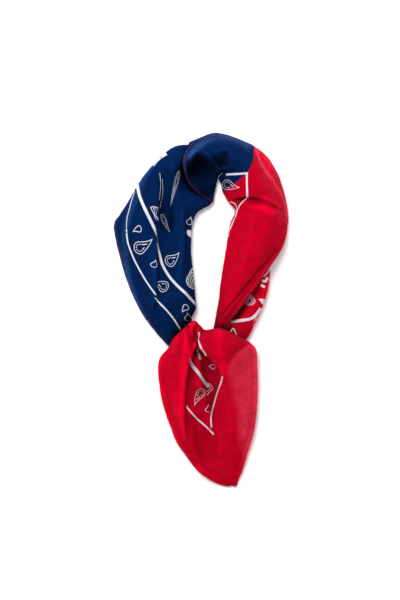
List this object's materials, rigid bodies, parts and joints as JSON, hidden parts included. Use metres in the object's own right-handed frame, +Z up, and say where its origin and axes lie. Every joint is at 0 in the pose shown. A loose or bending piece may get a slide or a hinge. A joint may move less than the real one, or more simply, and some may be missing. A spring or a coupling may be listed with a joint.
{
  "type": "knotted bandana laid flat, half navy and half red",
  "caption": "Square cotton bandana rolled cornerwise, tied in a loop with one knot and laid flat, its red corner hanging below the knot.",
  "frame": {"origin": "middle of the bounding box at the surface the bandana lies on", "axes": "+Z up from the surface, +Y from the hanging corner past the knot to the crown of the loop, +X towards the red side"},
  "size_m": [0.1556, 0.3166, 0.0288],
  "materials": {
    "navy_cotton": "woven cotton",
    "red_cotton": "woven cotton"
  },
  "bodies": {
    "root": {"left_stretch": "navy_cotton", "left_core": "navy_cotton", "crown_stretch": "navy_cotton", "right_stretch": "red_cotton", "right_under": "red_cotton", "right_core": "red_cotton", "knot_wrap": "red_cotton", "knot_core": "red_cotton", "tail": "red_cotton", "under_corner": "navy_cotton"}
  },
  "joints": []
}
